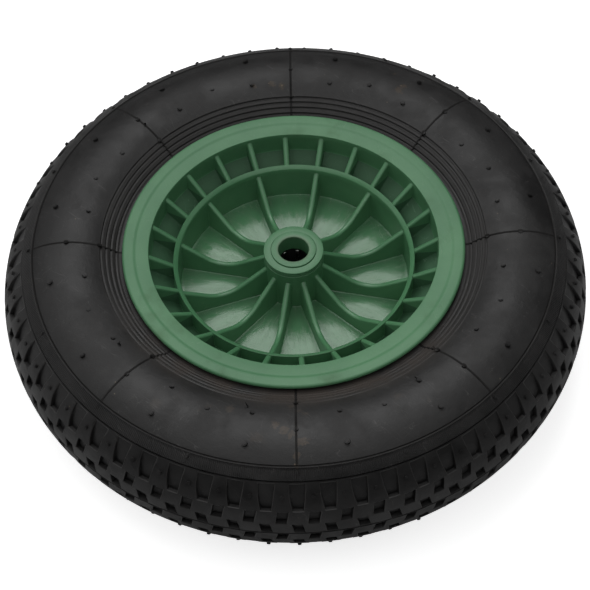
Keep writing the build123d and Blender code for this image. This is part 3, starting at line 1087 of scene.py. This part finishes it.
def make_specks():
    """Small scattered specks; Share is how many of the places hold one."""
    group, given, result, place = effect("specks", {"Scale": 100, "Reach": 0.2, "Share": 0.2})
    cells = node(group, "TexVoronoi", {"Vector": place, "Scale": given["Scale"]})
    near = ramp(cells.outputs["Distance"], 0.0, given["Reach"], 1.0, 0.0)
    chance = split(cells.outputs["Color"])[0]
    held = maths("LESS_THAN", chance, given["Share"])
    feed(result["Mask"], times(near, held))
    return group


def make_scratches():
    """Thin wandering lines, drawn out in one direction and broken up."""
    group, given, result, place = effect("scratches", {"Scale": 20, "Width": 0.01, "Turn": 0.0})
    turn = {"Vector": place, "Angle": given["Turn"]}
    turned = node(group, "VectorRotate", turn, rotation_type="Z_AXIS").outputs[0]
    long = node(group, "Mapping", {"Vector": turned, "Scale": (1.0, 7.0, 3.0)}).outputs[0]
    away = minus(noise_of(long, given["Scale"], 2), 0.5)
    line = ramp(maths("ABSOLUTE", away), 0.0, given["Width"], 1.0, 0.0)
    gaps = noise_of(place, times(given["Scale"], 2.7))
    feed(result["Mask"], times(line, ramp(gaps, 0.5, 0.62)))
    return group


def make_flow_marks():
    """Streaks that run out from the hub, where the plastic flowed from its gate."""
    group, given, result, place = effect("flow_marks", {"Scale": 9, "Run": 12})
    flat = across_wheel(place)
    way = vector_maths("NORMALIZE", flat)
    along = times(vector_maths("LENGTH", flat), given["Run"])
    rise = node(group, "CombineXYZ", {2: along}).outputs[0]
    spread = vector_maths("ADD", way, rise)
    noise = noise_of(spread, given["Scale"], 7, 0.65)
    feed(result["Mask"], ramp(noise, 0.4, 0.64))
    return group


def make_mud_spot():
    """A crust of dried mud round one place on the front side, given across the wheel in metres."""
    inputs = {"Across": 0, "Along": 0, "Reach": 0.01, "Scale": 330}
    group, given, result, place = effect("mud_spot", inputs)
    centre = node(group, "CombineXYZ", {0: given["Across"], 1: given["Along"]}).outputs[0]
    offset = vector_maths("SUBTRACT", place, centre)
    height = split(place)[2]
    away = vector_maths("LENGTH", across_wheel(offset))
    near = ramp(maths("DIVIDE", away, given["Reach"]), 0.0, 1.0, 0.6, -0.4)
    noise = noise_of(place, given["Scale"], 5, 0.7)
    uneven = times(minus(noise, 0.5), 2.2)
    crust = ramp(plus(uneven, near), 0.25, 0.5)
    feed(result["Mask"], times(crust, ramp(height, 0.0, 10 * MM)))
    return group


def finish(name, roughness=0.5, metallic=0.0, specular=0.5):
    """A new material with its shader and tree."""
    material = bpy.data.materials.new(name)
    material.use_nodes = True
    tree = material.node_tree
    shader = tree.nodes["Principled BSDF"]
    shader.inputs["Roughness"].default_value = roughness
    shader.inputs["Metallic"].default_value = metallic
    shader.inputs["Specular IOR Level"].default_value = specular
    return material, tree, shader


def bumped(shader, height, distance, strength=1.0):
    inputs = {"Height": height, "Distance": distance, "Strength": strength}
    bump = node(height.id_data, "Bump", inputs)
    feed(shader.inputs["Normal"], bump.outputs[0])


def near_side(tree, start, end):
    """One on the side of the wheel where the dirt has gathered."""
    x, y, _ = split(object_place(tree))
    turn = math.radians(DIRT_SIDE_TURN)
    reach = plus(times(x, math.sin(turn)), times(y, -math.cos(turn)))
    return ramp(reach, start, end)


def mud_mask(tree):
    """All the spots of dried mud in one mask."""
    mud = None
    for angle, round_axle, reach in MUD_SPOTS:
        across, along = round_point(on_section(angle)[0], round_axle)
        spot = use(tree, MUD_SPOT, Across=across, Along=along, Reach=reach * MM)
        mud = spot if mud is None else larger(mud, spot)
    return mud


def tyre_rubber():
    """Black rubber: mottled and scuffed, with mould lines, a ribbed band, dust and dried mud;
    painted shade along the mould lines and in the band's crease, and painted highlight, partly
    wear, on the blocks' edges and the band's crest.
    """
    material, tree, shader = finish("tyre_rubber", 0.6, specular=RUBBER_SPECULAR)
    section = use(tree, WHEEL_PLACE, "Section")
    radius = use(tree, WHEEL_PLACE, "Radius")
    turn = use(tree, WHEEL_PLACE, "Turn")
    mottle = patches(tree, 28, 0.35, 0.7)
    colour = blended(mottle, RUBBER_DARK, RUBBER_LIGHT)
    smudge = patches(tree, 13, 0.48, 0.72)
    fine = patches(tree, 75, 0.38, 0.68)
    colour = tinted(colour, SCUFF_AND_HIGHLIGHT_GREY, times(smudge, fine), 0.4)
    bead = times(ramp(section, 112, 118), ramp(mottle, 0.0, 1.0, 0.6, 1.0))
    colour = tinted(colour, RUBBER_BEAD, bead)

    beside_rim = times(ramp(section, 104, 128), near_side(tree, 0.03, 0.115))
    dust = times(beside_rim, patches(tree, 45, 0.3, 0.62))
    colour = tinted(colour, DUST_BROWN, dust, 0.75)
    stain = patches(tree, 60, 0.58, 0.72)
    stain = times(near_side(tree, 0.115, 0.14), stain)
    stain = times(stain, ramp(section, 70, 85))
    colour = tinted(colour, STAIN_BROWN, stain, 0.6)
    mud = mud_mask(tree)
    colour = tinted(colour, MUD_BROWN, mud)
    crumbs = times(mud, use(tree, SPECKS, Scale=420, Reach=0.35, Share=0.2))
    colour = tinted(colour, MUD_GRAIN, crumbs)

    scuffs = times(use(tree, SCRATCHES, Scale=22, Width=0.008, Turn=0.5), 0.7)
    other = times(use(tree, SCRATCHES, Scale=30, Width=0.006, Turn=2.1), 0.7)
    colour = tinted(colour, SCUFF_AND_HIGHLIGHT_GREY, larger(scuffs, other))
    specks = use(tree, SPECKS, Scale=100, Reach=0.075, Share=0.32)
    colour = tinted(colour, SPECK_TAN, specks, 0.55)

    low_edge, high_edge = BAND_ANGLES
    # Painted shade: a narrow strip along each mould line, darkened nearly to black further down.
    step = math.radians(180 / MOULD_LINE_COUNT)
    shifted = minus(turn, math.radians(TYRE_TURN))
    across = times(maths("PINGPONG", shifted, step), radius)
    mould = ramp(across, 0.6 * MM, 1.0 * MM, 1.0, 0.0)
    mould = times(mould, ramp(section, 59, 61))
    # Painted highlight, partly wear: the blocks' bevelled edges and a strip on the crest of the
    # band are lightened towards grey.
    worn = node(tree, "Attribute", attribute_name="worn_and_highlight_edge").outputs["Fac"]
    crest_highlight = zone(section, high_edge - 0.75, high_edge - 0.25, 0.15)
    worn = larger(worn, crest_highlight)
    colour = tinted(colour, SCUFF_AND_HIGHLIGHT_GREY, worn, 0.5)
    # Painted shade in the band's crease, darkened nearly to black together with the mould lines'
    # strips.
    crease = zone(section, high_edge + 0.1, high_edge + 0.9, 0.2)
    dark = larger(mould, crease)
    colour = tinted(colour, SHADE_BLACK, dark, 0.9)
    feed(shader.inputs["Base Color"], colour)

    rough = ramp(mottle, 0.0, 1.0, 0.45, 0.62)
    for mask, change in ((fine, 0.06), (worn, -0.15), (dark, 0.3), (dust, 0.25)):
        rough = plus(rough, times(mask, change))
    feed(shader.inputs["Roughness"], rough)

    ribbing = times(maths("SINE", times(turn, SERRATION_COUNT)), 0.4)
    ribbing = times(ribbing, zone(section, low_edge, high_edge - 1, 0.3))
    skin = times(use(tree, GRAIN, Scale=1100), 0.3)
    dents = patches(tree, 110, 0.3, 0.8)
    height = plus(plus(ribbing, skin), times(dents, 0.5))
    bumped(shader, height, 0.25 * MM)
    return material


def green_moulding():
    """Green plastic: glossy in the hollows, duller on the flange, with scratches and grime, painted
    shade on the ledges of the outer hollows, and a pale ring round the bore that is partly dust and
    partly painted highlight.
    """
    material, tree, shader = finish("green_moulding", specular=0.5)
    radius = use(tree, WHEEL_PLACE, "Radius")
    height = use(tree, WHEEL_PLACE, "Height")
    from_middle = maths("ABSOLUTE", height)
    mottle = patches(tree, 16, 0.3, 0.75)
    colour = blended(mottle, GREEN_DARK, GREEN_LIGHT)
    on_web = zone(height, -7.4 * MM, -2.6 * MM, 0.3 * MM)
    marks = times(on_web, use(tree, FLOW_MARKS, Scale=19, Run=4))
    colour = tinted(colour, GREEN_PALE, marks, 0.28)
    # Painted shade: the ledges deep in the outer hollows, below the ribs, are darkened towards a
    # deep green.
    below_ribs = ramp(from_middle, 24.4 * MM, 24.8 * MM, 1.0, 0.0)
    on_ledge = times(zone(radius, 83 * MM, 97.4 * MM, 0.4 * MM), below_ribs)
    colour = tinted(colour, GREEN_SHADE, on_ledge, 0.75)

    outside = ramp(from_middle, 32 * MM, 38 * MM)
    grime = times(outside, patches(tree, 38, 0.52, 0.72))
    colour = tinted(colour, GRIME, grime, 0.3)
    # Partly dust, partly painted highlight: a pale pinkish grey round the edge of the bore, on the
    # outer ends.
    bore_dust_and_highlight = times(ramp(radius, 12.6 * MM, 10.8 * MM), outside)
    colour = tinted(colour, DUST_AND_HIGHLIGHT_PINK, bore_dust_and_highlight, 0.6)
    lines = use(tree, SCRATCHES, Scale=26, Width=0.006, Turn=1.1)
    lines = larger(lines, use(tree, SCRATCHES, Scale=35, Width=0.005, Turn=2.6))
    colour = tinted(colour, GREEN_SCRATCH, lines, 0.5)
    specks = use(tree, SPECKS, Scale=130, Reach=0.06, Share=0.16)
    colour = tinted(colour, GRIME, specks, 0.5)
    feed(shader.inputs["Base Color"], colour)

    rough = ramp(from_middle, 26 * MM, 38 * MM, 0.32, 0.5)
    changes = ((on_web, -0.2), (on_ledge, 0.35), (marks, 0.16), (lines, 0.15), (grime, 0.15))
    for mask, change in changes:
        rough = plus(rough, times(mask, change))
    feed(shader.inputs["Roughness"], rough)

    skin = times(use(tree, GRAIN, Scale=900), 0.12)
    waves = times(patches(tree, 70, 0.2, 0.8), 0.35)
    relief = plus(times(lines, -0.2), times(marks, 0.3))
    bumped(shader, plus(plus(skin, waves), relief), 0.12 * MM)
    return material


def plain_finish(name, dark, light, roughness, metallic, scale):
    """A small part's finish: a worn colour, uneven gloss and a fine skin."""
    material, tree, shader = finish(name, roughness, metallic)
    wear = patches(tree, scale, 0.3, 0.75)
    feed(shader.inputs["Base Color"], blended(wear, dark, light))
    uneven = ramp(wear, 0.0, 1.0, roughness - 0.1, roughness + 0.12)
    feed(shader.inputs["Roughness"], uneven)
    bumped(shader, use(tree, GRAIN, Scale=2500), 0.03 * MM, 0.5)
    return material


def dress(piece, material):
    piece.data.materials.clear()
    piece.data.materials.append(material)


def smooth(piece):
    pick_only(piece)
    bpy.ops.object.shade_smooth_by_angle(angle=math.radians(SMOOTH_ANGLE))


def place_camera():
    """Sets the camera where the photograph's one stood, as fitted to the wheel's circles."""
    elevation = math.radians(CAMERA_ELEVATION)
    roll = math.radians(CAMERA_ROLL)
    right = Vector((1, 0, 0))
    down = Vector((0, -math.sin(elevation), -math.cos(elevation)))
    ahead = Vector((0, math.cos(elevation), -math.sin(elevation)))
    rolled_right = math.cos(roll) * right - math.sin(roll) * down
    rolled_down = math.sin(roll) * right + math.cos(roll) * down
    aim = Vector((0, 0, AIM_HEIGHT))
    place = aim - rolled_right * CAMERA_SIDE - rolled_down * CAMERA_DROP - ahead * CAMERA_DISTANCE
    facing = Matrix((rolled_right, -rolled_down, -ahead)).transposed().to_4x4()
    data = bpy.data.cameras.new("camera")
    data.sensor_width = SENSOR_WIDTH
    data.lens = LENS
    data.clip_start = NEAR_CLIP
    data.clip_end = FAR_CLIP
    camera = bpy.data.objects.new("camera", data)
    bpy.context.scene.collection.objects.link(camera)
    camera.matrix_world = rotation(CAMERA_TURN, "Z") @ Matrix.Translation(place) @ facing
    bpy.context.scene.camera = camera


def place_lamp(name, azimuth, elevation, distance, size, power):
    """A square soft lamp that faces the wheel; azimuth 0 is behind it, as the camera sees it."""
    data = bpy.data.lights.new(name, "AREA")
    data.size = size
    data.energy = power
    lamp = bpy.data.objects.new(name, data)
    bpy.context.scene.collection.objects.link(lamp)
    turn = math.radians(azimuth + 90 + CAMERA_TURN)
    rise = math.radians(elevation)
    way = Vector((math.cos(turn) * math.cos(rise), math.sin(turn) * math.cos(rise), math.sin(rise)))
    facing = way.to_track_quat("Z", "Y").to_matrix().to_4x4()
    lamp.matrix_world = Matrix.Translation(way * distance) @ facing


def make_floor():
    """A pale floor that the camera sees a little brighter, so that it meets the white backdrop."""
    floor = add("plane", "floor", size=FLOOR_SIZE, location=(0, 0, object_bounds()[0].z))
    material = bpy.data.materials.new("pale_floor")
    material.use_nodes = True
    tree = material.node_tree
    tree.nodes.clear()
    grey = (FLOOR_GREY, FLOOR_GREY, FLOOR_GREY, 1)
    diffuse = node(tree, "BsdfDiffuse", {"Color": grey}).outputs[0]
    seen = node(tree, "LightPath").outputs["Is Camera Ray"]
    glow = node(tree, "Emission", {"Strength": times(seen, FLOOR_GLOW)}).outputs[0]
    both = node(tree, "AddShader", {0: diffuse, 1: glow}).outputs[0]
    node(tree, "OutputMaterial", {"Surface": both})
    dress(floor, material)


def light_world():
    """A white backdrop for the camera, and a faint even light for everything else."""
    world = bpy.data.worlds.new("studio")
    bpy.context.scene.world = world
    world.use_nodes = True
    tree = world.node_tree
    seen = node(tree, "LightPath").outputs["Is Camera Ray"]
    level = node(tree, "Mix", {"Factor": seen, "A": ALL_ROUND_LIGHT, "B": 1.0})
    feed(tree.nodes["Background"].inputs["Strength"], level.outputs["Result"])


WHEEL_PLACE = make_wheel_place()
PATCHES = make_patches()
GRAIN = make_grain()
SPECKS = make_specks()
SCRATCHES = make_scratches()
FLOW_MARKS = make_flow_marks()
MUD_SPOT = make_mud_spot()

tyre = make_tyre()
smooth(tyre)
dress(tyre, tyre_rubber())
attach(tyre, "wheel")
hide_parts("tyre")

green = green_moulding()
rim = make_rim()
smooth(rim)
dress(rim, green)
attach(rim, "wheel")
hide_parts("rim")

for name, side in (("front_end_cap", 1), ("back_end_cap", -1)):
    cap = make_end_cap(f"{name}_moulding", side)
    smooth(cap)
    dress(cap, green)
    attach(cap, "wheel")
    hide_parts(name)

FINISHES = {
    "tube_rubber": ((0.010, 0.010, 0.010), (0.020, 0.019, 0.018), 0.55, 0.0, 40),
    "seal_rubber": ((0.05, 0.01, 0.01), (0.09, 0.02, 0.018), 0.5, 0.0, 300),
    "cage_plastic": ((0.006, 0.006, 0.006), (0.012, 0.012, 0.012), 0.4, 0.0, 120),
    "cap_plastic": ((0.008, 0.008, 0.008), (0.016, 0.016, 0.016), 0.42, 0.0, 200),
    "bearing_steel": ((0.32, 0.31, 0.30), (0.5, 0.49, 0.48), 0.34, 1.0, 90),
    "roller_steel": ((0.45, 0.44, 0.43), (0.62, 0.61, 0.6), 0.25, 1.0, 160),
    "spring_steel": ((0.4, 0.4, 0.4), (0.55, 0.55, 0.55), 0.3, 1.0, 400),
    "brass": ((0.48, 0.32, 0.12), (0.68, 0.48, 0.2), 0.32, 1.0, 180),
}
slots = {row["node"]: row["material_slot"] for row in frame["record"]["subparts"]}
finishes = {name: plain_finish(name, *values) for name, values in FINISHES.items()}
for name, piece in frame["nodes"].items():
    if slots[name] in finishes:
        dress(piece, finishes[slots[name]])
        smooth(piece)

spring = make_valve_spring()
smooth(spring)
dress(spring, finishes["spring_steel"])
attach(spring, "wheel")
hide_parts("valve_spring")
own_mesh(spring)

make_floor()
light_world()
for lamp in LAMPS:
    place_lamp(*lamp)
place_camera()

bpy.context.scene.view_settings.view_transform = "Standard"
